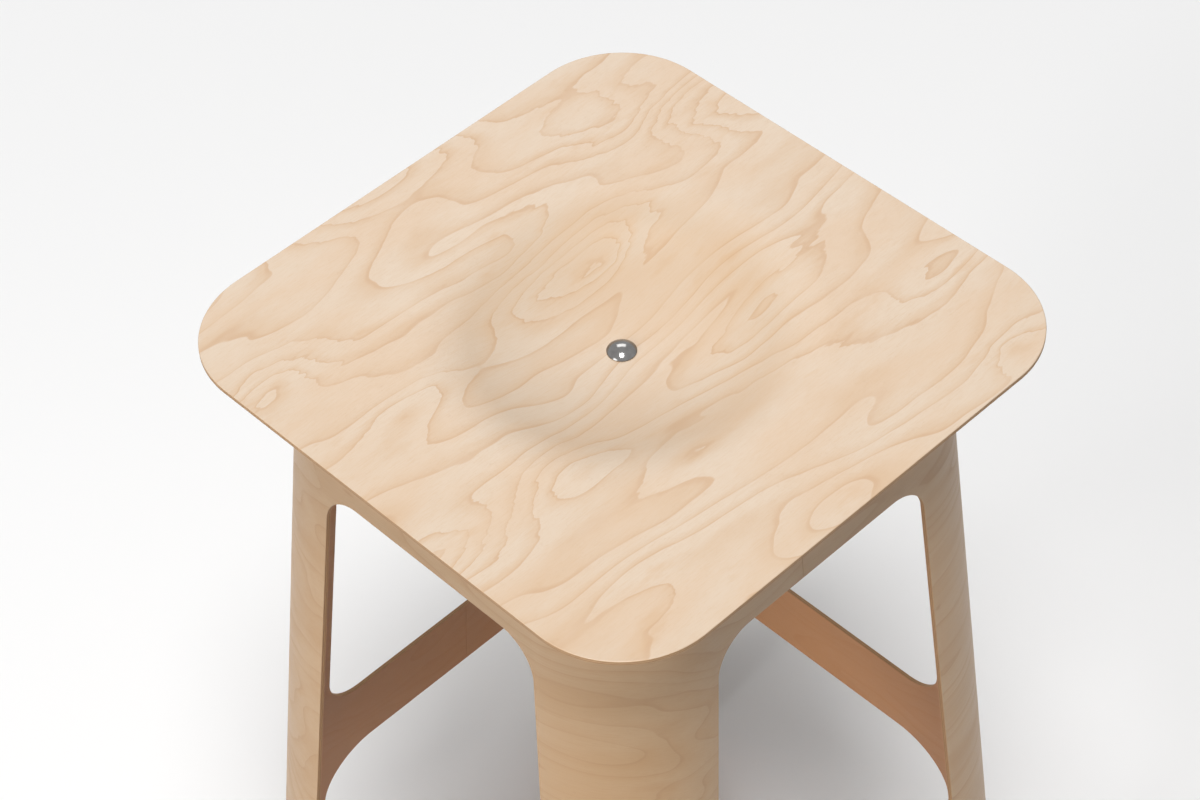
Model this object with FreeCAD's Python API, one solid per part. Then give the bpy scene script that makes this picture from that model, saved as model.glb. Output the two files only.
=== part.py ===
import FreeCAD, Part
import os
from math import atan, cos, radians, sin, sqrt, tan

# Stacking stool of moulded birch plywood: a thin dished seat on a splayed, four-legged base.
# The frame stands on the floor at z = 0, centred under the seat, with the sides of the seat
# along X and Y. All sizes are in millimetres and angles in degrees.

# Seat panel
seat_height = 650.0           # floor to the flat border of the seat
seat_side = 350.0
seat_corner_radius = 57.0
seat_ply = 3.0
dish_radius = 115.0           # where the flat border starts to fall into the dish
dish_depth = 18.0
dish_bowl_share = 0.70        # share of the radius taken by the hollow bowl inside the rim

# Base shell, made of two equal U-shaped mouldings that meet on the left and right sides
seat_overhang = 34.5          # seat past the top of the base, all round
base_splay = 4.7              # slope of every side from the vertical
base_corner_radius = 64.0     # outside radius of the four rounded legs
base_ply = 3.0
leg_lip = 3.5                 # flat strip between a leg's bend and its openings
seam_offset = 15.0            # from the middle of the side to the glued seam

# Openings of each side, as drops below the seat's border
rail_drop = 72.0              # lower edge of the top rail
stretcher_top_drop = 389.0
stretcher_low_drop = 449.0
window_corner_radius = 25.0
arch_corner_radius = 43.0

# Frame under the seat
brace_ply = 18.0
brace_height = 35.0
glue_gap = 0.1                # slip fit of halvings and slots, on each side
brace_seat_back = 8.0         # wood of the corner block between a brace's end and the leg
block_depth = 30.0            # along the diagonal, from the leg's bend inwards
block_floor = 6.0             # wood left under the brace
splice_ply = 4.0
splice_length = 64.0
splice_margin = 8.0           # rail left free above and below the splice

# Bolt, washer and nut
bolt_diameter = 6.0
bolt_length = 50.0            # under the head
bolt_head_diameter = 16.6
bolt_head_height = 4.2
bolt_head_rim = 0.5           # straight edge of the head below its dome
bolt_neck_depth = 2.6
bolt_fit = 0.3                # hole to shank, on each side
neck_fit = 0.1                # seat hole to square neck, on each side
washer_diameter = 30.0
washer_thickness = 2.0
nut_across_flats = 10.0
nut_height = 5.0

# Glides under the legs
glide_sole = 2.0
glide_lip_height = 12.0
glide_lip = 2.0
glide_end_gap = 1.5           # glide to the open edge of the leg, on each side

# The dish: a spherical bowl that turns into a rounded rim of the opposite bend
dish_turn = 2 * atan(dish_depth / dish_radius)
bowl_radius = dish_bowl_share * dish_radius / sin(dish_turn)
rim_radius = (1 - dish_bowl_share) * dish_radius / sin(dish_turn)

# Heights and widths that follow from the sizes above
base_top_side = seat_side - 2 * seat_overhang
seat_under = seat_height - seat_ply
dish_top = seat_height - dish_depth
neck_hole = bolt_diameter / 2 + neck_fit
slope = tan(radians(base_splay))
inner_radius = base_corner_radius - base_ply
beyond = seat_side            # reach of a cutting tool past the stool

X = FreeCAD.Vector(1, 0, 0)
Z = FreeCAD.Vector(0, 0, 1)
CENTRE = FreeCAD.Vector(0, 0, 0)


def vec(x, y, z=0.0):
    return FreeCAD.Vector(x, y, z)


def bowl_rise(radius, distance):
    """Height of a sphere's surface above its lowest point, at a distance from its axis."""
    return radius - sqrt(radius ** 2 - distance ** 2)


# The bolt head rests on its rim in the bowl, and the bowl rests on the braces round its hole
head_seat = dish_top + bowl_rise(bowl_radius, bolt_head_diameter / 2)
brace_top = dish_top - seat_ply + bowl_rise(bowl_radius + seat_ply, neck_hole)
brace_low = brace_top - brace_height
block_low = brace_low - block_floor


def half_width(z):
    """Half of the base's outside width at height z."""
    return base_top_side / 2 + slope * (seat_under - z)


def opening_half(z):
    """Half of an opening's width at height z, so that its sides run along the legs' bends."""
    return half_width(z) - base_corner_radius - leg_lip


def diagonal_reach(z):
    """Distance from the centre to the inside of a leg's bend at height z."""
    return (half_width(z) - base_corner_radius) * sqrt(2) + inner_radius


def box(x, y, z):
    """Box from three (low, high) pairs."""
    size = [pair[1] - pair[0] for pair in (x, y, z)]
    return Part.makeBox(size[0], size[1], size[2], vec(x[0], y[0], z[0]))


def turned(shape, degrees):
    """Copy of a shape, turned about the stool's upright axis."""
    copy = shape.copy()
    copy.rotate(CENTRE, Z, degrees)
    return copy


def rounded_corners(block, radius):
    """Block with its four upright or splayed edges rounded."""
    edges = [e for e in block.Edges if abs(e.Vertexes[0].Z - e.Vertexes[-1].Z) > block.BoundBox.ZLength / 2]
    return block.makeFillet(radius, edges)


def splayed_solid(z_low, z_high, inset=0.0):
    """Solid bounded by the base's splayed sides, drawn in by the inset."""
    low, high = half_width(z_low) - inset, half_width(z_high) - inset
    block = Part.makeWedge(-low, z_low, -low, -high, -high, low, z_high, low, high, high)
    block.rotate(CENTRE, X, 90)
    return rounded_corners(block, base_corner_radius - inset)


def splayed_wall(z_low, z_high, outer_inset, inner_inset):
    """Wall between two insets of the base's splayed sides."""
    return splayed_solid(z_low, z_high, outer_inset).cut(splayed_solid(z_low, z_high, inner_inset))


def opening_cutter(z_low, z_high, radius, rounded_heights):
    """Prism through the front and rear sides, with its corners rounded at the given heights."""
    low, high = opening_half(z_low), opening_half(z_high)
    corners = [(-low, z_low), (low, z_low), (high, z_high), (-high, z_high), (-low, z_low)]
    outline = Part.makePolygon([vec(x, -beyond, z) for x, z in corners])
    prism = Part.Face(outline).extrude(vec(0, 2 * beyond, 0))
    rounded = []
    for edge in prism.Edges:
        first, last = edge.Vertexes[0].Point, edge.Vertexes[-1].Point
        along = abs(last.y - first.y) > beyond
        if along and any(abs(first.z - z) < 1e-6 for z in rounded_heights):
            rounded.append(edge)
    return prism.makeFillet(radius, rounded)


def make_base_half():
    """Front moulding: the whole front side, two legs, and a wing along each neighbouring side."""
    shell = splayed_wall(glide_sole, seat_under, 0.0, base_ply)
    window_low = seat_height - stretcher_top_drop
    window_high = seat_height - rail_drop
    arch_low = -glide_sole
    arch_high = seat_height - stretcher_low_drop
    window = opening_cutter(window_low, window_high, window_corner_radius, (window_low, window_high))
    arch = opening_cutter(arch_low, arch_high, arch_corner_radius, (arch_high,))
    for cutter in (window, arch):
        shell = shell.cut(cutter).cut(turned(cutter, 90))
    high = seat_height + beyond
    left = box((-beyond, 0), (-beyond, seam_offset), (-beyond, high))
    right = box((0, beyond), (-beyond, -seam_offset), (-beyond, high))
    return shell.common(left.fuse(right))


def make_dish():
    """Dish of even thickness: a bowl between two balls, with a rim that bends the other way."""
    bowl_centre = vec(0, 0, dish_top + bowl_radius)
    wall = Part.makeSphere(bowl_radius + seat_ply, bowl_centre, X)
    wall = wall.cut(Part.makeSphere(bowl_radius, bowl_centre, X))
    cone_height = bowl_radius + 2 * seat_ply
    cone = Part.makeCone(0, cone_height * tan(dish_turn), cone_height, bowl_centre, -Z)
    bowl = wall.common(cone)

    rim_centre = vec(dish_radius, 0, seat_height - rim_radius)

    def rim_point(radius, turn):
        return rim_centre + vec(-sin(turn), 0, cos(turn)) * radius

    edges = []
    for radius in (rim_radius, rim_radius - seat_ply):
        points = [rim_point(radius, turn) for turn in (dish_turn, dish_turn / 2, 0)]
        edges.append(Part.Arc(*points).toShape())
    for turn in (dish_turn, 0):
        ends = [rim_point(radius, turn) for radius in (rim_radius, rim_radius - seat_ply)]
        edges.append(Part.LineSegment(*ends).toShape())
    rim = Part.Face(Part.Wire(Part.__sortEdges__(edges))).revolve(CENTRE, Z, 360)
    return bowl.fuse(rim)


def make_seat():
    """Thin square panel whose middle is pressed down into a round dish, with the bolt's hole."""
    span = (-seat_side / 2, seat_side / 2)
    plate = rounded_corners(box(span, span, (seat_under, seat_height)), seat_corner_radius)
    plate = plate.cut(Part.makeCylinder(dish_radius, seat_ply, vec(0, 0, seat_under)))
    hole = box((-neck_hole, neck_hole), (-neck_hole, neck_hole), (brace_low, seat_height))
    return plate.fuse(make_dish()).cut(hole)


def make_brace(halving_low, halving_high):
    """Rib on edge along X, halved at its middle and bored for the bolt."""
    reach = diagonal_reach(brace_top) - brace_seat_back
    rib = box((-reach, reach), (-brace_ply / 2, brace_ply / 2), (brace_low, brace_top))
    slot = brace_ply / 2 + glue_gap
    rib = rib.cut(box((-slot, slot), (-brace_ply, brace_ply), (halving_low, halving_high)))
    hole = Part.makeCylinder(bolt_diameter / 2 + bolt_fit, brace_height, vec(0, 0, brace_low))
    return rib.cut(hole)


def make_corner_block():
    """Quarter-round glue block on +X, with a blind slot that takes the end of a brace."""
    filled = turned(splayed_solid(block_low, seat_under, base_ply), 45)
    inner_face = diagonal_reach(seat_under) - block_depth
    block = filled.common(box((inner_face, beyond), (-beyond, beyond), (block_low, seat_under)))
    slot = brace_ply / 2 + glue_gap
    slot_end = diagonal_reach(brace_top) - brace_seat_back + glue_gap
    return block.cut(box((0, slot_end), (-slot, slot), (brace_low, seat_under)))


def make_splice():
    """Strip glued behind the top rail of the right side, over the seam."""
    low = seat_height - rail_drop + splice_margin
    high = seat_under - splice_margin
    strip = splayed_wall(low, high, base_ply, base_ply + splice_ply)
    middle = -seam_offset
    span = (middle - splice_length / 2, middle + splice_length / 2)
    return strip.common(box((0, beyond), span, (low, high)))


def make_glide():
    """Sole under the leg between +X and +Y, with a lip behind the plywood."""
    lip_inset = base_ply + glide_lip
    sole = splayed_wall(0, glide_sole, 0.0, lip_inset)
    lip = splayed_wall(glide_sole, glide_lip_height, base_ply, lip_inset)
    start = opening_half(0) + glide_end_gap
    return sole.fuse(lip).common(box((start, beyond), (start, beyond), (0, glide_lip_height)))


def make_bolt():
    """Cup-head bolt, head up, with a square neck in the seat."""
    head_radius = bolt_head_diameter / 2
    shank_radius = bolt_diameter / 2
    dome_height = bolt_head_height - bolt_head_rim
    dome_radius = (head_radius ** 2 + dome_height ** 2) / (2 * dome_height)
    crown = head_seat + bolt_head_height
    ball = Part.makeSphere(dome_radius, vec(0, 0, crown - dome_radius), vec(-1, 0))
    stock = Part.makeCylinder(head_radius, 2 * bolt_head_height, vec(0, 0, head_seat))
    neck = box((-shank_radius, shank_radius), (-shank_radius, shank_radius),
               (head_seat - bolt_neck_depth, head_seat))
    shank = Part.makeCylinder(shank_radius, bolt_length, vec(0, 0, head_seat - bolt_length))
    return stock.common(ball).fuse(neck).fuse(shank)


def make_washer():
    """Wide washer under the crossing of the braces."""
    low = vec(0, 0, brace_low - washer_thickness)
    disc = Part.makeCylinder(washer_diameter / 2, washer_thickness, low)
    return disc.cut(Part.makeCylinder(bolt_diameter / 2 + bolt_fit, washer_thickness, low))


def make_nut():
    """Hexagon nut under the washer."""
    low = vec(0, 0, brace_low - washer_thickness - nut_height)
    corner = nut_across_flats / sqrt(3)
    points = [low + vec(corner * cos(radians(60 * k)), corner * sin(radians(60 * k))) for k in range(7)]
    hexagon = Part.Face(Part.makePolygon(points)).extrude(vec(0, 0, nut_height))
    return hexagon.cut(Part.makeCylinder(bolt_diameter / 2, nut_height, low))


def build():
    """All pieces of the stool by name."""
    pieces = {"seat_panel": make_seat()}
    half = make_base_half()
    pieces["base_front_half"] = half
    pieces["base_rear_half"] = turned(half, 180)

    halving = (brace_top + brace_low) / 2
    pieces["cross_brace_upper"] = turned(make_brace(brace_low, halving), 45)
    pieces["cross_brace_lower"] = turned(make_brace(halving, brace_top), 135)

    block, glide = make_corner_block(), make_glide()
    for quarter, corner in enumerate(("rear_right", "rear_left", "front_left", "front_right")):
        pieces["corner_block_" + corner] = turned(block, 45 + 90 * quarter)
        pieces["foot_glide_" + corner] = turned(glide, 90 * quarter)

    splice = make_splice()
    pieces["rail_splice_right"] = splice
    pieces["rail_splice_left"] = turned(splice, 180)

    pieces["seat_bolt"] = make_bolt()
    pieces["bolt_washer"] = make_washer()
    pieces["bolt_nut"] = make_nut()
    return pieces


os.makedirs("parts", exist_ok=True)
for name, shape in build().items():
    shape.exportStep("parts/" + name + ".step")
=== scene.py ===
import math
from contextlib import contextmanager

import bpy
from mathutils import Matrix, Vector


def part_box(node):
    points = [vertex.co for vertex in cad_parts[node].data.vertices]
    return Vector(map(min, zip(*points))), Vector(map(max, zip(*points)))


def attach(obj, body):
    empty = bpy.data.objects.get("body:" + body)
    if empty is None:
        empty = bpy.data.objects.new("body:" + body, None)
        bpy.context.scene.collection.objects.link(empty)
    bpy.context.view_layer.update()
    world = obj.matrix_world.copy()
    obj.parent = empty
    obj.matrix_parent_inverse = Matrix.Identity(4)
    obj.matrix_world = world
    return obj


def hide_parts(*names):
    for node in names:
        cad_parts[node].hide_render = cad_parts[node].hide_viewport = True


# Stacking stool of moulded birch plywood: a thin dished seat on a splayed base with four legs.
# Metres, +Z up, standing on the floor at z = 0 under the middle of the seat.
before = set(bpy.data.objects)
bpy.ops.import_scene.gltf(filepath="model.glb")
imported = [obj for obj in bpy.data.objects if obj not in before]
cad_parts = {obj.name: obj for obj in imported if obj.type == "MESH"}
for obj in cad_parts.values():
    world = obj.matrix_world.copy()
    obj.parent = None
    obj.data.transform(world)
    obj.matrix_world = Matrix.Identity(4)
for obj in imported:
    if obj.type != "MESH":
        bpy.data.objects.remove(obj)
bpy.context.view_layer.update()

MM = 0.001
TINY = 0.01 * MM

# How far a cutting tool runs past what it cuts
beyond = 0.1

# Sizes read from the frame
seat_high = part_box("seat_panel")[1]
rib_bottom, rib_top = [corner.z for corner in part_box("cross_brace_upper")]
block_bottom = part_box("corner_block_front_left")[0].z
splice_low, splice_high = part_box("rail_splice_right")
washer_low, washer_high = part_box("bolt_washer")
nut_low, nut_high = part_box("bolt_nut")
bolt_low, bolt_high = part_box("seat_bolt")
glide_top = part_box("foot_glide_rear_right")[1].z
seat_top = seat_high.z
seat_half = seat_high.x
tool_reach = seat_half + beyond

# Seat
seat_ply = 3 * MM
seat_corner = 57 * MM
dish_radius = 115 * MM
dish_depth = 18 * MM
dish_bowl_share = 0.70
seat_edge_round = 0.5 * MM
bolt_hole_half = 3.1 * MM

# Base
base_top_half = 140.5 * MM
base_slope = math.tan(math.radians(4.7))
base_corner = 64 * MM
base_ply = 3 * MM
thin_ply_layers = 5
leg_lip = 3.5 * MM
seam_offset = 15 * MM
base_bottom = 2 * MM
base_top = seat_top - seat_ply
rail_low = seat_top - 72 * MM
stretcher_top = seat_top - 389 * MM
stretcher_low = seat_top - 449 * MM
window_corner = 25 * MM
arch_corner = 43 * MM
ply_edge_round = 0.3 * MM
rear_sheet_start = 2.0

# Frame under the seat
rib_ply = 18 * MM
rib_layers = 13
rib_edge_round = 0.4 * MM
halving_gap = 0.1 * MM
rib_seat_back = 8 * MM
block_depth = 30 * MM
splice_ply = 4 * MM
block_edge_round = 0.5 * MM

# Bolt with a shallow dome for a head, its nut and its washer
bolt_radius = 3 * MM
bolt_room = 0.3 * MM
head_radius = 8.3 * MM
head_height = 4.2 * MM
head_rim = 0.5 * MM
head_rim_round = 0.2 * MM
neck_depth = 2.6 * MM
thread_over_rib = 8 * MM
thread_pitch = 1.0 * MM
thread_depth = 0.55 * MM
nut_flats_half = 5 * MM
nut_turning = 6.05 * MM
nut_edge_round = 0.15 * MM
washer_radius = 15 * MM
washer_edge_round = 0.3 * MM

# Corners in the order of a turn about the stool's axis, each with a leg, a glue block and a glide
corners = ("rear_right", "rear_left", "front_left", "front_right")

# Glides
glide_lip = 2 * MM
glide_end_gap = 1.5 * MM
glide_sole = 2 * MM
glide_edge_round = 0.5 * MM


def choose(*pieces):
    """Make these pieces the only selected ones, and the first of them the active one."""
    bpy.ops.object.select_all(action="DESELECT")
    for piece in pieces:
        piece.select_set(True)
    bpy.context.view_layer.objects.active = pieces[0]


@contextmanager
def editing(piece, kind="FACE", test=None):
    """Edit mode on a piece, with only the vertices, edges or faces that pass the test selected."""
    choose(piece)
    bpy.ops.object.mode_set(mode="EDIT")
    bpy.ops.mesh.select_mode(type=kind)
    bpy.ops.mesh.select_all(action="DESELECT" if test else "SELECT")
    if test:
        bpy.ops.object.mode_set(mode="OBJECT")
        mesh = piece.data
        if kind == "VERT":
            for vertex in mesh.vertices:
                vertex.select = test([vertex.co])
        for part in {"VERT": [], "EDGE": mesh.edges, "FACE": mesh.polygons}[kind]:
            part.select = test([mesh.vertices[i].co for i in part.vertices])
        bpy.ops.object.mode_set(mode="EDIT")
    yield
    bpy.ops.object.mode_set(mode="OBJECT")


def add_block(name, low, high):
    """Block between two corners, its place in its mesh."""
    low, high = Vector(low), Vector(high)
    bpy.ops.mesh.primitive_cube_add(size=1, location=(low + high) / 2)
    block = bpy.context.active_object
    block.name = name
    block.scale = high - low
    bpy.ops.object.transform_apply(location=True, rotation=True, scale=True)
    return block


def add_drum(name, radius, low, high, sides=48):
    """Upright drum about the stool's axis."""
    bpy.ops.mesh.primitive_cylinder_add(
        vertices=sides, radius=radius, depth=high - low, location=(0, 0, (low + high) / 2))
    drum = bpy.context.active_object
    drum.name = name
    bpy.ops.object.transform_apply(location=True, rotation=True, scale=True)
    return drum


def apply_modifier(piece, kind, **settings):
    """Add a modifier to a piece and apply it."""
    choose(piece)
    modifier = piece.modifiers.new(kind.lower(), kind)
    for name, value in settings.items():
        setattr(modifier, name, value)
    bpy.ops.object.modifier_apply(modifier=modifier.name)


def combine(piece, tool, operation):
    """Cut a tool from a piece, join it on, or keep what both hold. The tool is used up."""
    apply_modifier(piece, "BOOLEAN", operation=operation, object=tool, solver="EXACT")
    bpy.data.objects.remove(tool)


def round_edges(piece, width, steps=2):
    """Ease the sharp edges of a piece and shade its flat and bent faces cleanly."""
    apply_modifier(piece, "BEVEL", width=width, segments=steps, limit_method="ANGLE",
                   angle_limit=math.radians(35), use_clamp_overlap=False)
    choose(piece)
    bpy.ops.object.shade_smooth_by_angle(angle=math.radians(40))
    apply_modifier(piece, "WEIGHTED_NORMAL", keep_sharp=True, weight=80)


def turn(piece, degrees):
    """Turn a piece about the stool's upright axis, in its mesh."""
    piece.data.transform(Matrix.Rotation(math.radians(degrees), 4, "Z"))
    return piece


def turned_copy(piece, name, degrees):
    """Copy of a piece with its own mesh, turned about the stool's upright axis."""
    copy = piece.copy()
    copy.data = piece.data.copy()
    copy.name = name
    bpy.context.collection.objects.link(copy)
    return turn(copy, degrees)


def half_width(z):
    """Half of the base's outside width at height z."""
    return base_top_half + base_slope * (base_top - z)


def opening_half(z):
    """Half of an opening's width at height z."""
    return half_width(z) - base_corner - leg_lip


def diagonal_reach(z):
    """Distance from the axis to the inside of a leg's bend at height z."""
    return (half_width(z) - base_corner) * math.sqrt(2) + base_corner - base_ply


def fillet_reach(radius, angle):
    """How far a fillet of this radius reaches along the sides of a corner of this angle."""
    return radius / math.tan(angle / 2)


def is_upright(points):
    return abs(points[0].z - points[-1].z) > TINY


def tapered_block(name, z_low, z_high, inset, steps=32):
    """Block with the base's splayed sides, drawn in by the inset, and its four corners rounded."""
    low, high = half_width(z_low) - inset, half_width(z_high) - inset
    block = add_block(name, (-low, -low, z_low), (low, low, z_high))
    with editing(block, "FACE", lambda points: min(p.z for p in points) > z_high - TINY):
        bpy.ops.transform.resize(value=(high / low, high / low, 1))
    splay_sine = math.sin(math.atan(base_slope))
    corner_angle = math.pi / 2 + math.asin(splay_sine ** 2)
    with editing(block, "EDGE", is_upright):
        bpy.ops.mesh.bevel(offset=fillet_reach(base_corner - inset, corner_angle),
                           segments=steps, profile=0.5)
    return block


def splayed_wall(name, z_low, z_high, outer_inset, inner_inset, steps=32):
    """Wall between two insets of the base's splayed sides."""
    wall = tapered_block(name, z_low, z_high, outer_inset, steps)
    core = tapered_block("core", z_low - beyond, z_high + beyond, inner_inset, steps)
    combine(wall, core, "DIFFERENCE")
    return wall


def opening_tool(z_low, z_high, radius, rounded_heights):
    """Prism through the front and rear sides, with its corners rounded at the given heights."""
    low, high = opening_half(z_low), opening_half(z_high)
    tool = add_block("opening", (-low, -tool_reach, z_low), (low, tool_reach, z_high))
    with editing(tool, "FACE", lambda points: min(p.z for p in points) > z_high - TINY):
        bpy.ops.transform.resize(value=(high / low, 1, 1))
    lean = math.atan(base_slope)
    for z in rounded_heights:
        angle = math.pi / 2 + (lean if z == z_high else -lean)

        def at_height(points, z=z):
            return all(abs(p.z - z) < TINY for p in points) and abs(points[0].y - points[1].y) > tool_reach

        with editing(tool, "EDGE", at_height):
            bpy.ops.mesh.bevel(offset=fillet_reach(radius, angle), segments=20, profile=0.5)
    return tool


def mark_veneer(piece, turned_by, run_from):
    """Write where each point lies on the sheet of veneer: along it, across it, and its depth in the ply."""
    upright = Matrix.Rotation(math.radians(-turned_by), 4, "Z")
    mark = piece.data.attributes.new("veneer", "FLOAT_VECTOR", "POINT")
    for vertex, value in zip(piece.data.vertices, mark.data):
        x, y, z = upright @ vertex.co
        half = half_width(z)
        flat = half - base_corner
        side = math.copysign(1, x)
        if y < -flat and abs(x) <= flat:
            along, depth = abs(x), half + y
        elif y < -flat:
            bend = math.atan2(abs(x) - flat, -y - flat)
            along = flat + base_corner * bend
            depth = base_corner - math.hypot(abs(x) - flat, -y - flat)
        else:
            along = flat + base_corner * math.pi / 2 + flat + y
            depth = half - abs(x)
        value.vector = (run_from + side * along, z, depth)


def make_base():
    """Two equal U-shaped mouldings that meet at the seams on the left and right sides."""
    front = splayed_wall("front_moulding", base_bottom, base_top, 0, base_ply)
    window = (stretcher_top, rail_low, window_corner, (stretcher_top, rail_low))
    arch = (-beyond, stretcher_low, arch_corner, (stretcher_low,))
    for opening in (window, arch):
        combine(front, opening_tool(*opening), "DIFFERENCE")
        combine(front, turn(opening_tool(*opening), 90), "DIFFERENCE")
    top = seat_top + beyond
    right_rear = add_block("tool", (0, -seam_offset, -beyond), (tool_reach, tool_reach, top))
    combine(front, right_rear, "DIFFERENCE")
    left_rear = add_block("tool", (-tool_reach, seam_offset, -beyond), (seam_offset, tool_reach, top))
    combine(front, left_rear, "DIFFERENCE")
    round_edges(front, ply_edge_round)
    rear = turned_copy(front, "rear_moulding", 180)
    mark_veneer(front, 0, 0)
    mark_veneer(rear, 180, rear_sheet_start)
    for piece, node in ((front, "base_front_half"), (rear, "base_rear_half")):
        finish_piece(piece, [base_veneer, cut_ply_edge], node)
        places = piece.data.attributes["veneer"].data
        for face in piece.data.polygons:
            depths = [places[i].vector.z for i in face.vertices]
            face.material_index = int(max(depths) - min(depths) > base_ply / 2)


def dish_profile(distance):
    """Height of the seat's upper face at a distance from its axis."""
    steepest = 2 * math.atan(dish_depth / dish_radius)
    bowl_radius = dish_bowl_share * dish_radius / math.sin(steepest)
    rim_radius = (1 - dish_bowl_share) * dish_radius / math.sin(steepest)
    if distance < bowl_radius * math.sin(steepest):
        return seat_top - dish_depth + bowl_radius - math.sqrt(bowl_radius ** 2 - distance ** 2)
    return seat_top - rim_radius + math.sqrt(rim_radius ** 2 - (dish_radius - distance) ** 2)


def make_seat():
    """Thin square panel with rounded corners, pressed down into a round dish."""
    corner_steps = 40
    around = 4 * (corner_steps + 1)
    rings = 46
    start = 2 * MM
    bpy.ops.mesh.primitive_circle_add(vertices=around, radius=start, location=(0, 0, dish_profile(start)),
                                      rotation=(0, 0, math.radians(45)))
    seat = bpy.context.active_object
    seat.name = "seat_shell"
    bpy.ops.object.transform_apply(location=True, rotation=True, scale=True)
    with editing(seat, "EDGE"):
        radius = start
        for ring in range(1, rings + 1):
            wider = start + (dish_radius - start) * ring / rings
            bpy.ops.mesh.extrude_edges_move()
            bpy.ops.transform.resize(value=(wider / radius, wider / radius, 1))
            bpy.ops.transform.translate(value=(0, 0, dish_profile(wider) - dish_profile(radius)))
            radius = wider
        bpy.ops.mesh.extrude_edges_move()
    step = 2 * math.pi / around
    flat = seat_half - seat_corner
    for vertex in [v for v in seat.data.vertices if v.select]:
        quarter, angle = divmod(math.atan2(vertex.co.y, vertex.co.x), math.pi / 2)
        bend = math.pi / 2 * (round((angle - math.pi / 4) / step) / corner_steps + 0.5)
        corner = Vector((flat + seat_corner * math.cos(bend), flat + seat_corner * math.sin(bend), seat_top))
        vertex.co = Matrix.Rotation(quarter * math.pi / 2, 3, "Z") @ corner
    with editing(seat):
        bpy.ops.mesh.normals_make_consistent(inside=False)
    if seat.data.polygons[0].normal.z < 0:
        with editing(seat):
            bpy.ops.mesh.flip_normals()
    apply_modifier(seat, "SOLIDIFY", thickness=seat_ply, offset=-1, use_even_offset=True)
    hole = bolt_hole_half
    combine(seat, add_block("tool", (-hole, -hole, rib_bottom), (hole, hole, seat_top)), "DIFFERENCE")
    round_edges(seat, seat_edge_round, 3)
    finish_piece(seat, [seat_veneer, under_veneer, seat_ply_edge], "seat_panel")
    middle = seat_top - seat_ply / 2
    edge_half = (seat_ply - seat_edge_round) / 2
    for face in seat.data.polygons:
        is_edge = abs(face.normal.z) < 0.3 and abs(face.center.z - middle) < edge_half
        face.material_index = 2 if is_edge else int(face.normal.z < 0)


def make_rib(name, node, halving_low, halving_high, turned_by):
    """Rib on edge, halved at its middle and bored for the bolt."""
    reach = diagonal_reach(rib_top) - rib_seat_back
    rib = add_block(name, (-reach, -rib_ply / 2, rib_bottom), (reach, rib_ply / 2, rib_top))
    slot = rib_ply / 2 + halving_gap
    halving = add_block("tool", (-slot, -rib_ply, halving_low), (slot, rib_ply, halving_high))
    combine(rib, halving, "DIFFERENCE")
    hole = add_drum("tool", bolt_radius + bolt_room, rib_bottom - beyond, rib_top + beyond, 32)
    combine(rib, hole, "DIFFERENCE")
    round_edges(rib, rib_edge_round)
    finish_piece(rib, [rib_sides[turned_by], rib_edges[turned_by]], node)
    for face in rib.data.polygons:
        face.material_index = int(abs(face.normal.y) < 0.7)
    turn(rib, turned_by)


def make_ribs():
    """Two ribs that cross at their middles, each halved to let the other through."""
    middle = (rib_bottom + rib_top) / 2
    make_rib("upper_rib", "cross_brace_upper", rib_bottom - beyond, middle, 45)
    make_rib("lower_rib", "cross_brace_lower", middle, rib_top + beyond, 135)


def make_glue_blocks():
    """Quarter-round blocks that fill the tops of the legs, slotted for the ends of the ribs."""
    block = turn(tapered_block("glue_block", block_bottom, base_top, base_ply, 24), 45)
    inner_face = diagonal_reach(base_top) - block_depth
    keep = add_block("tool", (inner_face, -tool_reach, block_bottom - beyond),
                     (tool_reach, tool_reach, seat_top + beyond))
    combine(block, keep, "INTERSECT")
    slot = rib_ply / 2 + halving_gap
    slot_end = diagonal_reach(rib_top) - rib_seat_back + halving_gap
    combine(block, add_block("tool", (0, -slot, rib_bottom), (slot_end, slot, seat_top)), "DIFFERENCE")
    round_edges(block, block_edge_round)
    for quarter, corner in enumerate(corners):
        copy = turned_copy(block, "glue_block_" + corner, 45 + 90 * quarter)
        finish_piece(copy, [block_wood[quarter % 2]], "corner_block_" + corner)
    bpy.data.objects.remove(block)


def make_splices():
    """Strips glued behind the top rails, over the seams."""
    outer_low = half_width(splice_low.z) - base_ply
    outer_high = half_width(splice_high.z) - base_ply
    strip = add_block("splice_strip_right", (outer_low - splice_ply, splice_low.y, splice_low.z),
                      (outer_low, splice_high.y, splice_high.z))
    with editing(strip, "FACE", lambda points: min(p.z for p in points) > splice_high.z - TINY):
        bpy.ops.transform.translate(value=(outer_high - outer_low, 0, 0))
    round_edges(strip, block_edge_round)
    left = turned_copy(strip, "splice_strip_left", 180)
    finish_piece(strip, [splice_plywood], "rail_splice_right")
    finish_piece(left, [splice_plywood], "rail_splice_left")


def make_glides():
    """Curved nylon soles under the legs, each with a lip behind the plywood."""
    inner = base_ply + glide_lip
    glide = splayed_wall("glide", 0, glide_sole, 0, inner)
    lip = splayed_wall("tool", glide_sole / 2, glide_top, base_ply, inner)
    combine(glide, lip, "UNION")
    start = opening_half(0) + glide_end_gap
    keep = add_block("tool", (start, start, -beyond), (tool_reach, tool_reach, beyond))
    combine(glide, keep, "INTERSECT")
    round_edges(glide, glide_edge_round, 3)
    for quarter, corner in enumerate(corners):
        copy = turned_copy(glide, "leg_glide_" + corner, 90 * quarter)
        finish_piece(copy, [nylon], "foot_glide_" + corner)
    bpy.data.objects.remove(glide)


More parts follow.
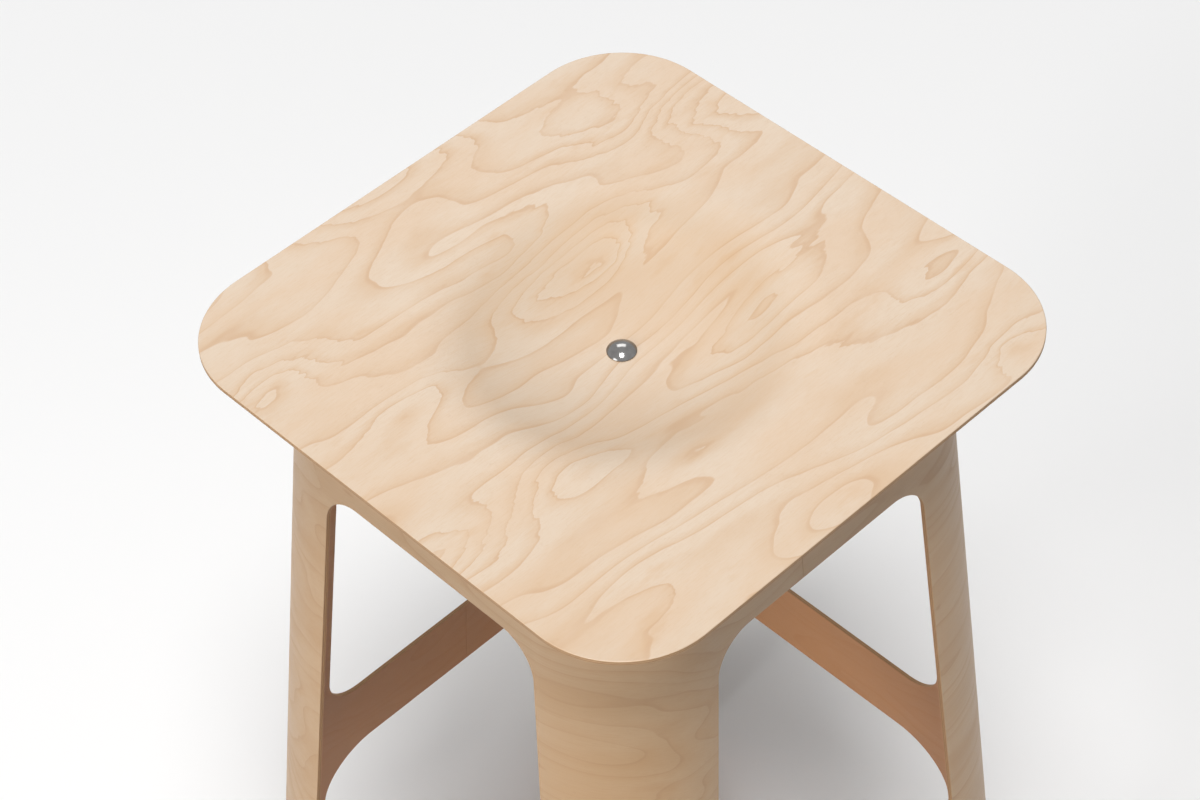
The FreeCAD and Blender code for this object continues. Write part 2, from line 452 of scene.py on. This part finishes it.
def make_bolt():
    """Cup-head bolt: a polished dome, a square neck, a plain shank and a threaded end."""
    head_seat = bolt_high.z - head_height
    dome_height = head_height - head_rim
    dome_radius = (head_radius ** 2 + dome_height ** 2) / (2 * dome_height)
    bolt = add_drum("bolt", head_radius, head_seat, bolt_high.z, 96)
    with editing(bolt, "FACE", lambda points: min(p.z for p in points) > head_seat + TINY):
        bpy.ops.transform.translate(value=(0, 0, head_rim - head_height))
        radius, rise = head_radius, 0
        edge_angle = math.asin(head_radius / dome_radius)
        rings = 24
        for ring in range(1, rings):
            angle = edge_angle * (1 - ring / rings)
            narrower = dome_radius * math.sin(angle)
            higher = dome_radius * (math.cos(angle) - math.cos(edge_angle))
            bpy.ops.mesh.extrude_region_move()
            bpy.ops.transform.resize(value=(narrower / radius, narrower / radius, 1))
            bpy.ops.transform.translate(value=(0, 0, higher - rise))
            radius, rise = narrower, higher
    crown = max(v.co.z for v in bolt.data.vertices)
    with editing(bolt, "FACE", lambda points: min(p.z for p in points) > crown - TINY):
        bpy.ops.mesh.poke(offset=dome_height - rise)
    rim = head_rim + head_seat
    with editing(bolt, "EDGE", lambda points: max(abs(p.z - rim) for p in points) < TINY
                 and min(p.xy.length for p in points) > head_radius - TINY * 10):
        bpy.ops.mesh.bevel(offset=head_rim_round, segments=3, profile=0.5)
    neck_low = head_seat - neck_depth
    neck = add_block("tool", (-bolt_radius, -bolt_radius, neck_low),
                     (bolt_radius, bolt_radius, head_seat + head_rim / 2))
    combine(bolt, neck, "UNION")
    thread_top = rib_bottom + thread_over_rib
    root = bolt_radius - thread_depth
    combine(bolt, add_drum("tool", bolt_radius, thread_top, neck_low + neck_depth / 2), "UNION")
    combine(bolt, make_thread(root, bolt_low.z, thread_top + thread_pitch), "UNION")
    choose(bolt)
    bpy.ops.object.shade_smooth_by_angle(angle=math.radians(30))
    # The head takes the steel painted dark grey, a painted reflection of a dark room.
    finish_piece(bolt, [steel_painted_dark_reflection, thread_steel], "seat_bolt")
    for face in bolt.data.polygons:
        face.material_index = int(face.center.z < head_seat - TINY)


def make_thread(root, low, high):
    """Threaded rod from its chamfered end upwards, cut from one long helix."""
    turns = round((high - low) / thread_pitch) + 2
    bottom = low - thread_pitch
    # Outline of one turn, from the root up a flank to the crest, each point with its share of the pitch
    section = [(root, 0.0), (root, 0.12), (root + thread_depth, 0.44), (root + thread_depth, 0.62)]
    points = [Vector((radius, 0, bottom + (turn + share) * thread_pitch))
              for turn in range(turns) for radius, share in section]
    mesh = bpy.data.meshes.new("thread")
    mesh.from_pydata(points, [(i, i + 1) for i in range(len(points) - 1)], [])
    rod = bpy.data.objects.new("tool", mesh)
    bpy.context.collection.objects.link(rod)
    apply_modifier(rod, "SCREW", screw_offset=thread_pitch, steps=32, render_steps=32)
    with editing(rod):
        bpy.ops.mesh.remove_doubles(threshold=TINY)
        bpy.ops.mesh.fill_holes(sides=0)
        bpy.ops.mesh.normals_make_consistent(inside=False)
    stock = add_drum("tool", bolt_radius + TINY, low, high)
    with editing(stock, "FACE", lambda points: max(p.z for p in points) < low + TINY):
        bpy.ops.mesh.inset(thickness=thread_depth)
        bpy.ops.transform.translate(value=(0, 0, -thread_depth))
    stock.data.transform(Matrix.Translation((0, 0, thread_depth)))
    combine(rod, stock, "INTERSECT")
    return rod


def make_washer():
    """Wide washer under the crossing of the ribs."""
    washer = add_drum("washer", washer_radius, washer_low.z, washer_high.z, 96)
    hole = add_drum("tool", bolt_radius + bolt_room, washer_low.z - beyond, washer_high.z + beyond)
    combine(washer, hole, "DIFFERENCE")
    round_edges(washer, washer_edge_round)
    finish_piece(washer, [zinc_steel], "bolt_washer")


def make_nut():
    """Hexagon nut with its corners turned off."""
    corner = nut_flats_half / math.cos(math.pi / 6)
    middle = (nut_low.z + nut_high.z) / 2
    nut = add_drum("nut", corner, nut_low.z, nut_high.z, 6)
    turn(nut, 30)
    bpy.ops.mesh.primitive_uv_sphere_add(segments=64, ring_count=32, radius=nut_turning,
                                         location=(0, 0, middle))
    keep = bpy.context.active_object
    bpy.ops.object.transform_apply(location=True, rotation=True, scale=True)
    combine(nut, keep, "INTERSECT")
    hole = add_drum("tool", bolt_radius, nut_low.z - beyond, nut_high.z + beyond)
    combine(nut, hole, "DIFFERENCE")
    round_edges(nut, nut_edge_round)
    finish_piece(nut, [zinc_steel], "bolt_nut")


def finish_piece(piece, materials, node):
    """Give a piece its materials and tie it to the frame."""
    piece.data.materials.clear()
    for material in materials:
        piece.data.materials.append(material)
    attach(piece, "root")
    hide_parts(node)


class Socket:
    """A value on its way through a material's nodes. Sums and products of it add Math nodes."""

    def __init__(self, finish, output):
        self.finish = finish
        self.output = output

    def maths(self, operation, *others):
        return self.finish.node("Math", {"operation": operation}, dict(enumerate((self, *others))))

    def __add__(self, other):
        return self.maths("ADD", other)

    def __sub__(self, other):
        return self.maths("SUBTRACT", other)

    def __rsub__(self, other):
        return self.maths("MULTIPLY_ADD", -1, other)

    def __mul__(self, other):
        return self.maths("MULTIPLY", other)

    def __truediv__(self, other):
        return self.maths("DIVIDE", other)

    def __pow__(self, other):
        return self.maths("POWER", other)

    __radd__ = __add__
    __rmul__ = __mul__


class Finish:
    """The nodes of a material or of the world, added one by one."""

    def __init__(self, owner, shader="Principled BSDF", **constants):
        owner.use_nodes = True
        self.owner = owner
        self.tree = owner.node_tree
        self.shader = self.tree.nodes[shader]
        for socket, value in constants.items():
            self.shader.inputs[socket.replace("_", " ")].default_value = value

    def node(self, kind, settings, sockets, output=0):
        """Any node: its settings first, then the values or links of its sockets."""
        node = self.tree.nodes.new("ShaderNode" + kind)
        for name, value in settings.items():
            setattr(node, name, value)
        for key, value in sockets.items():
            self.feed(node.inputs[key], value)
        return Socket(self, node.outputs[output])

    def feed(self, target, value):
        """Link a socket to an input, or set the input to a plain value."""
        if isinstance(value, Socket):
            self.tree.links.new(value.output, target)
        else:
            target.default_value = value

    def place(self):
        return self.node("TexCoord", {}, {}, "Object")

    def axes(self, vector):
        """The three parts of a vector."""
        first = self.node("SeparateXYZ", {}, {0: vector})
        return [Socket(self, output) for output in first.output.node.outputs]

    def vector(self, x, y, z):
        return self.node("CombineXYZ", {}, {0: x, 1: y, 2: z})

    def scaled(self, vector, sizes, shift=(0, 0, 0)):
        """A vector counted in these sizes, from the shift."""
        return self.node("VectorMath", {"operation": "MULTIPLY_ADD"},
                         {0: vector, 1: [1 / size for size in sizes], 2: shift})

    def noise(self, vector, sizes, shift=0.0, detail=2.0):
        """Smooth noise round 0, its patches about this long along each axis. Each use has its own shift."""
        counted = self.scaled(vector, sizes, (shift, shift, shift))
        cloud = self.node("TexNoise", {}, {"Vector": counted, "Scale": 1.0, "Detail": detail})
        return cloud * 2 - 1

    def step(self, value, start, end):
        """0 up to the start, 1 from the end, and smooth between them."""
        return self.node("MapRange", {"interpolation_type": "SMOOTHSTEP"},
                         {"Value": value, "From Min": start, "From Max": end})

    def mix(self, share, first, second):
        """Blend of two colours, which are sockets 6 and 7 of a Mix node. Its third output is their blend."""
        return self.node("Mix", {"data_type": "RGBA"},
                         {0: share, 6: opaque(first), 7: opaque(second)}, 2)

    def done(self, colour, roughness, height, depth):
        """Link the results to the shader, with the height as a bump this deep."""
        bump = self.node("Bump", {}, {"Height": height, "Distance": depth, "Strength": 1.0})
        self.feed(self.shader.inputs["Base Color"], colour)
        self.feed(self.shader.inputs["Roughness"], roughness)
        self.feed(self.shader.inputs["Normal"], bump)
        return self.owner


def new_finish(name, **constants):
    """Finish of a new material. The constants are what the shader's inputs hold all over it."""
    return Finish(bpy.data.materials.new(name), **constants)


def opaque(colour):
    """A colour with full alpha, or a colour socket as it is."""
    return colour if isinstance(colour, Socket) else (*colour, 1)


def sheet_mark(along, across):
    """Size of a mark on a peeled sheet, in mm along the grain and across it."""
    return along * MM, across * MM, MM


def growth_field(finish, sheet, spacing, swells, wander):
    """Field on a peeled sheet whose contour lines are its growth lines. The sheet's x runs with the grain.

    Where the sheet is calm the lines are this far apart. Each swell bends them round itself, and the wander
    says how far waves of several sizes push them about.
    """
    lengthwise = finish.noise(sheet, sheet_mark(26, 7), 3.1) * (wander * 14 * MM)
    jagged = finish.noise(sheet, sheet_mark(9, 2.4), 8.7) * (wander * 5 * MM)
    crosswise = finish.noise(sheet, sheet_mark(70, 26), 5.3) * (wander * 12 * MM)
    moved = finish.node("VectorMath", {"operation": "ADD"},
                        {0: sheet, 1: finish.vector(lengthwise + jagged, crosswise, 0.0)})
    drift = finish.noise(sheet, sheet_mark(150, 48), 1.9, 1.0) * (wander * 4)
    field = finish.axes(moved)[1] / spacing + drift
    for along, across, length, width, rise in swells:
        counted = finish.scaled(moved, (length * MM, width * MM, 1e3), (-along / length, -across / width, 0))
        squared = finish.node("VectorMath", {"operation": "DOT_PRODUCT"}, {0: counted, 1: counted}, "Value")
        field = field + (squared * -1).maths("EXPONENT") * rise
    return field


def veneer(name, sheet_of, tones, spacing, swells=(), wander=1.0, strength=1.0, inner=None, **constants):
    """Rotary-cut birch: growth lines with a darker side, patches, fibre streaks and small pores.

    The tones go from pale through warm and tan to dark. The inner tone, darker and redder, is blended over
    the ply's inner face.
    """
    finish = new_finish(name, **constants)
    sheet = sheet_of(finish)
    share = growth_field(finish, sheet, spacing, swells, wander).maths("FRACT")
    end = 1 - finish.step(share, 0.975, 1.0)
    uneven = 0.35 + 0.65 * finish.step(finish.noise(sheet, sheet_mark(40, 16), 4.4), -0.55, 0.35)
    band = finish.step(share, 0.30, 0.97) ** 1.6 * end * uneven
    line = finish.step(share, 0.86, 0.96) * end * uneven
    patch = finish.step(finish.noise(sheet, sheet_mark(80, 30), 6.2, 3.0), -0.35, 0.35)
    blotch = finish.step(finish.noise(sheet, sheet_mark(34, 12), 9.4, 3.0), 0.18, 0.62)
    fibre = finish.noise(sheet, sheet_mark(9, 0.5), 2.2, 3.0)
    fine = finish.noise(sheet, sheet_mark(3.5, 0.22), 7.7, 1.0)
    pore = finish.step(finish.noise(sheet, sheet_mark(1.6, 0.18), 11.3, 0.0), 0.52, 0.72)
    streaks = finish.step(fibre + fine * 0.7, -0.25, 0.75)
    pale, warm, tan, dark = tones
    colour = finish.mix(patch, pale, warm)
    colour = finish.mix(blotch * 0.70 * strength, colour, tan)
    colour = finish.mix(band * 0.60 * strength, colour, tan)
    colour = finish.mix(line * 0.42 * strength, colour, dark)
    colour = finish.mix(streaks * 0.36, colour, tan)
    colour = finish.mix(pore * 0.40, colour, dark)
    if inner:
        behind = finish.step(finish.axes(sheet)[2], 1 * MM, 2 * MM)
        colour = finish.mix(behind * 0.72, colour, inner)
    roughness = 0.42 + 0.10 * fibre + 0.06 * band
    height = fibre * 0.5 + fine * 0.5 - pore * 1.5 - band * 0.3
    return finish.done(colour, roughness, height, 0.03 * MM)


def ply_edge(name, place_of, layer, long_grain, end_grain, glue):
    """Sanded edge of plywood: long and end grain by turns, with dark glue lines between them."""
    finish = new_finish(name, Specular_IOR_Level=0.35)
    place, depth = place_of(finish)
    count = depth / layer + finish.noise(place, (22 * MM, 22 * MM, 22 * MM), 2.7) * 0.18
    across = finish.step((count * math.pi).maths("SINE"), 0.15, -0.15)
    glue_line = finish.step((count - count.maths("ROUND")).maths("ABSOLUTE"), 0.12, 0.04)
    streak = finish.noise(place, (5 * MM, 5 * MM, 0.16 * MM), 1.4, 3.0)
    speck = finish.noise(place, (0.5 * MM, 0.5 * MM, 0.3 * MM), 4.9, 3.0)
    colour = finish.mix(finish.step(streak, -0.4, 0.5) * 0.5, long_grain, end_grain)
    colour = finish.mix(across * (0.75 + 0.5 * speck), colour, end_grain)
    colour = finish.mix(glue_line * 0.7, colour, glue)
    return finish.done(colour, 0.62 + 0.15 * speck, streak + speck, 0.05 * MM)


def solid_birch(name, pith):
    """Planed birch with its grain upright, and the arcs of its rings round a pith beside the block."""
    finish = new_finish(name, IOR=1.5)
    place = finish.place()
    x, y = finish.axes(place)[:2]
    bent = finish.noise(place, (40 * MM, 40 * MM, 160 * MM), 3.3) * (6 * MM)
    reach = ((x - pith[0]) ** 2 + (y - pith[1]) ** 2) ** 0.5 + bent
    ring = (reach / (3.2 * MM)).maths("FRACT")
    line = finish.step(ring, 0.55, 0.95) * (1 - finish.step(ring, 0.95, 1.0))
    fibre = finish.noise(place, (0.6 * MM, 0.6 * MM, 18 * MM), 5.1, 3.0)
    colour = finish.mix(finish.step(fibre, -0.4, 0.5), (0.56, 0.40, 0.26), (0.50, 0.34, 0.20))
    colour = finish.mix(line * 0.6, colour, (0.42, 0.26, 0.14))
    return finish.done(colour, 0.55 + 0.15 * fibre, fibre - line * 0.3, 0.05 * MM)


def along_rib(finish, degrees):
    """The parts of a place, turned back to lie along a rib: along it, across its thickness, and up."""
    turned = finish.node("Mapping", {}, {0: finish.place(), "Rotation": (0, 0, math.radians(-degrees))})
    return finish.axes(turned)


def sheet_on_rib(degrees):
    """Sheet along the side of a rib that is turned about the upright axis. The two sides differ."""
    def sheet(finish):
        x, y, z = along_rib(finish, degrees)
        return finish.vector(x, z, y * 40)
    return sheet


def layers_of_rib(degrees):
    """Place on the edge of a rib, and its depth in the rib's plywood."""
    def place_of(finish):
        x, y, z = along_rib(finish, degrees)
        return finish.vector(x, z, y), y + rib_ply / 2
    return place_of


def sheet_on_base(finish):
    """The base's own attribute, with the two faces of the ply far apart in the pattern."""
    sheet = finish.node("Attribute", {"attribute_name": "veneer"}, {}, "Vector")
    along, height, depth = finish.axes(sheet)
    return finish.vector(along + depth * 300, height + depth * 60, depth)


def layers_of_base(finish):
    """Place on a cut edge of the base, and its depth in the ply."""
    sheet = finish.node("Attribute", {"attribute_name": "veneer"}, {}, "Vector")
    return sheet, finish.axes(sheet)[2]


def sheet_on_seat(finish):
    """Sheet on the seat's upper face, with its grain along Y."""
    x, y = finish.axes(finish.place())[:2]
    return finish.vector(y, x, 0.0)


def sheet_under_seat(finish):
    """Sheet on the seat's lower face, from another part of the log."""
    x, y = finish.axes(finish.place())[:2]
    return finish.vector(y + 0.8, x + 0.3, 0.0)


def layers_of_seat(finish):
    """Place on the seat's edge, and its depth in the ply."""
    place = finish.place()
    return place, seat_top - finish.axes(place)[2]


def sheet_on_splice(finish):
    """Sheet on a splice strip, with its grain upright."""
    x, y, z = finish.axes(finish.place())
    return finish.vector(z, y + x * 4, 0.0)


def steel(name, colour, worn, roughness, spread, mark_size):
    """Metal with fine marks of this size, a little duller and darker in patches."""
    finish = new_finish(name, Metallic=1.0)
    place = finish.place()
    marks = finish.noise(place, mark_size, 1.7, 3.0)
    patch = finish.step(finish.noise(place, (4 * MM, 4 * MM, 4 * MM), 6.5, 3.0), -0.3, 0.4)
    tone = finish.mix(patch * 0.6, colour, worn)
    tone = finish.mix(finish.step(marks, 0.0, 0.8) * 0.3, tone, worn)
    return finish.done(tone, roughness + spread * patch + spread * marks, marks, 0.004 * MM)


def nylon_finish():
    """Natural nylon, faintly mottled, and scuffed on the sole."""
    finish = new_finish("nylon", IOR=1.53)
    place = finish.place()
    mottle = finish.noise(place, (9 * MM, 9 * MM, 9 * MM), 2.4, 3.0)
    scuff = finish.step(finish.noise(place, (7 * MM, 0.7 * MM, 3 * MM), 4.8, 2.0), 0.1, 0.5)
    sole = finish.step(finish.axes(place)[2], 0.9 * MM, 0.2 * MM)
    colour = finish.mix(finish.step(mottle, -0.4, 0.4), (0.72, 0.68, 0.58), (0.66, 0.61, 0.51))
    colour = finish.mix(scuff * sole * 0.6, colour, (0.42, 0.38, 0.32))
    return finish.done(colour, 0.38 + 0.25 * scuff * sole, mottle + scuff * sole, 0.05 * MM)


def seen_or_mirrored(finish):
    """1 where the camera sees a point straight, in a mirror or through glass."""
    rays = finish.node("LightPath", {}, {}).output.node.outputs
    kinds = ("Camera", "Glossy", "Transmission")
    seen, mirrored, through = [Socket(finish, rays[f"Is {kind} Ray"]) for kind in kinds]
    return seen.maths("MAXIMUM", mirrored).maths("MAXIMUM", through)


def floor_finish():
    """Pale floor that keeps the shadow, and turns to the white of the backdrop further out."""
    finish = new_finish("pale_floor", Roughness=0.9, Specular_IOR_Level=0.1)
    place = finish.place()
    cloud = finish.noise(place, (0.9, 0.9, 0.9), 1.2)
    pale = finish.mix(cloud * 0.5 + 0.5, (0.90, 0.90, 0.90), (0.93, 0.93, 0.93))
    finish.feed(finish.shader.inputs["Base Color"], pale)
    distance = finish.node("VectorMath", {"operation": "LENGTH"}, {0: place}, "Value")
    lift = floor_lift + (1 - floor_lift) * finish.step(distance, 0.6, 2.6)
    white = finish.node("Emission", {}, {"Color": (1, 1, 1, 1), "Strength": backdrop_white})
    surface = Socket(finish, finish.shader.outputs[0])
    lifted = finish.node("MixShader", {}, {0: seen_or_mirrored(finish) * lift, 1: surface, 2: white})
    finish.feed(finish.tree.nodes["Material Output"].inputs["Surface"], lifted)
    return finish.owner


def lay_floor():
    """Round pale floor."""
    bpy.ops.mesh.primitive_circle_add(vertices=96, radius=floor_radius, fill_type="NGON")
    floor = bpy.context.active_object
    floor.name = "floor"
    floor.data.materials.append(floor_finish())


def set_camera():
    """Camera that looks down at the seat's corner."""
    camera_data = bpy.data.cameras.new("camera")
    camera_data.sensor_width = 36
    camera_data.lens = focal_pixels / image_width * camera_data.sensor_width
    camera = bpy.data.objects.new("camera", camera_data)
    bpy.context.collection.objects.link(camera)
    towards = Vector((math.sin(view_azimuth) * math.cos(view_elevation),
                      -math.cos(view_azimuth) * math.cos(view_elevation), math.sin(view_elevation)))
    camera.matrix_world = (Matrix.Translation(view_target + view_distance * towards)
                           @ Matrix.Rotation(view_azimuth, 4, "Z")
                           @ Matrix.Rotation(math.pi / 2 - view_elevation, 4, "X")
                           @ Matrix.Rotation(view_roll, 4, "Z"))
    bpy.context.scene.camera = camera


def add_softbox(name, azimuth, elevation, distance, width, height, watts):
    """Rectangular lamp at these angles and this distance from the stool, turned to shine on it."""
    azimuth, elevation = math.radians(azimuth), math.radians(elevation)
    towards = Vector((math.cos(elevation) * math.cos(azimuth), math.cos(elevation) * math.sin(azimuth),
                      math.sin(elevation)))
    place = lamp_centre + distance * towards
    lamp = bpy.data.lights.new(name, "AREA")
    lamp.shape = "RECTANGLE"
    lamp.size, lamp.size_y, lamp.energy = width, height, watts
    softbox = bpy.data.objects.new(name, lamp)
    bpy.context.collection.objects.link(softbox)
    softbox.location = place
    softbox.rotation_euler = (lamp_aim - place).to_track_quat("-Z", "Y").to_euler()


def light_world():
    """Dim fill from the room, which is seen and mirrored as a white backdrop."""
    world = bpy.data.worlds.new("studio")
    bpy.context.scene.world = world
    studio = Finish(world, "Background", Color=(1, 1, 1, 1))
    strength = world_fill + (backdrop_white - world_fill) * seen_or_mirrored(studio)
    studio.feed(studio.shader.inputs["Strength"], strength)


# The seat's figure: swells of the peeled log, each with its place along the grain and across it,
# its half length and half width, all in mm, and its rise in growth lines
seat_swells = (
    (30, -57, 44, 20, 2.8), (36, -48, 13, 6, 0.8),
    (-10, -185, 52, 34, 2.6), (-5, -95, 45, 13, -1.3),
    (-158, -98, 30, 20, 2.0), (-95, -100, 42, 13, -0.8),
    (-115, -40, 26, 13, 1.0), (-142, -18, 14, 8, 0.6),
    (178, -82, 42, 27, 2.6), (110, -125, 24, 42, -1.2),
    (64, 39, 34, 12, -1.7), (-178, 51, 32, 22, -1.9),
    (-92, 48, 26, 22, 1.2), (2, 88, 85, 13, 1.7),
    (150, 28, 72, 17, 1.3), (162, 92, 62, 15, -1.8),
    (-128, 140, 22, 9, -1.0), (132, 160, 20, 10, 1.4))

# Wood tones, from pale through warm and tan to dark
seat_tones = ((0.545, 0.420, 0.300), (0.535, 0.380, 0.245), (0.50, 0.315, 0.165), (0.42, 0.225, 0.095))
under_tones = ((0.55, 0.40, 0.27), (0.53, 0.37, 0.23), (0.47, 0.30, 0.16), (0.38, 0.21, 0.10))
base_tones = ((0.465, 0.300, 0.160), (0.440, 0.270, 0.132), (0.400, 0.222, 0.094), (0.300, 0.145, 0.055))
base_inner_tone = (0.46, 0.200, 0.075)
frame_tones = ((0.55, 0.40, 0.26), (0.51, 0.36, 0.22), (0.46, 0.30, 0.16), (0.37, 0.22, 0.11))

# Tones of sanded ply edges: long grain, end grain and glue
seat_edge_tones = ((0.50, 0.32, 0.17), (0.34, 0.185, 0.085), (0.17, 0.09, 0.045))
base_edge_tones = ((0.54, 0.33, 0.16), (0.36, 0.19, 0.085), (0.17, 0.09, 0.045))
rib_edge_tones = ((0.52, 0.36, 0.21), (0.36, 0.21, 0.11), (0.20, 0.12, 0.07))

seat_veneer = veneer("seat_veneer", sheet_on_seat, seat_tones, spacing=24 * MM,
                     swells=seat_swells, wander=0.8, IOR=1.6, Specular_IOR_Level=0.85)
under_veneer = veneer("under_veneer", sheet_under_seat, under_tones, spacing=22 * MM, IOR=1.5)
base_veneer = veneer("base_veneer", sheet_on_base, base_tones, spacing=26 * MM, wander=1.1,
                     strength=0.5, inner=base_inner_tone, IOR=1.5, Specular_IOR_Level=0.6)
seat_ply_edge = ply_edge("seat_ply_edge", layers_of_seat, seat_ply / thin_ply_layers, *seat_edge_tones)
cut_ply_edge = ply_edge("cut_ply_edge", layers_of_base, base_ply / thin_ply_layers, *base_edge_tones)
rib_angles = (45, 135)
rib_sides = {angle: veneer(f"rib_side_{angle}", sheet_on_rib(angle), frame_tones, spacing=9 * MM)
             for angle in rib_angles}
rib_edges = {angle: ply_edge(f"rib_edge_{angle}", layers_of_rib(angle), rib_ply / rib_layers, *rib_edge_tones)
             for angle in rib_angles}
block_wood = [solid_birch("block_wood_a", (0.02, -0.26)), solid_birch("block_wood_b", (-0.27, 0.03))]
splice_plywood = veneer("splice_plywood", sheet_on_splice, frame_tones, spacing=10 * MM)
nylon = nylon_finish()
# The bolt head's steel is painted dark grey, a painted reflection of a dark room; polished steel itself is
# much paler.
steel_painted_dark_reflection = steel("steel_painted_dark_reflection", (0.24, 0.235, 0.23), (0.17, 0.165, 0.16),
                       roughness=0.12, spread=0.05, mark_size=(1.2 * MM, 1.2 * MM, 0.3 * MM))
thread_steel = steel("thread_steel", (0.48, 0.47, 0.45), (0.30, 0.28, 0.25),
                     roughness=0.28, spread=0.12, mark_size=(2 * MM, 2 * MM, 0.2 * MM))
zinc_steel = steel("zinc", (0.62, 0.63, 0.64), (0.52, 0.51, 0.46),
                   roughness=0.32, spread=0.10, mark_size=(0.5 * MM, 6 * MM, 0.5 * MM))

make_seat()
make_base()
make_ribs()
make_glue_blocks()
make_splices()
make_glides()
make_bolt()
make_washer()
make_nut()

# Stage: the floor, how far its middle is lifted to the backdrop's white, that white, and the room's fill
floor_radius = 8
floor_lift = 0.05
backdrop_white = 0.92
world_fill = 0.05
lay_floor()
light_world()

# View, with its focal length counted in pixels of an image this wide
view_azimuth = math.radians(46.62)
view_elevation = math.radians(46.797)
view_roll = math.radians(-2.146)
view_distance = 1.52134
view_target = Vector((0.02930, -0.04498, seat_top))
image_width = 1200
focal_pixels = 2948.49
set_camera()

# Lamps, placed round the first point and turned to the second
lamp_centre = Vector((0, 0, 0.6))
lamp_aim = Vector((0, 0, 0.55))
add_softbox("overhead", azimuth=-45, elevation=71, distance=5.5, width=1.8, height=1.8, watts=272)
add_softbox("left_side", azimuth=-92, elevation=22, distance=6.0, width=2.5, height=3.6, watts=185)
add_softbox("far_side", azimuth=137, elevation=45, distance=6.5, width=4.0, height=2.4, watts=100)
bpy.context.scene.view_settings.view_transform = "Standard"
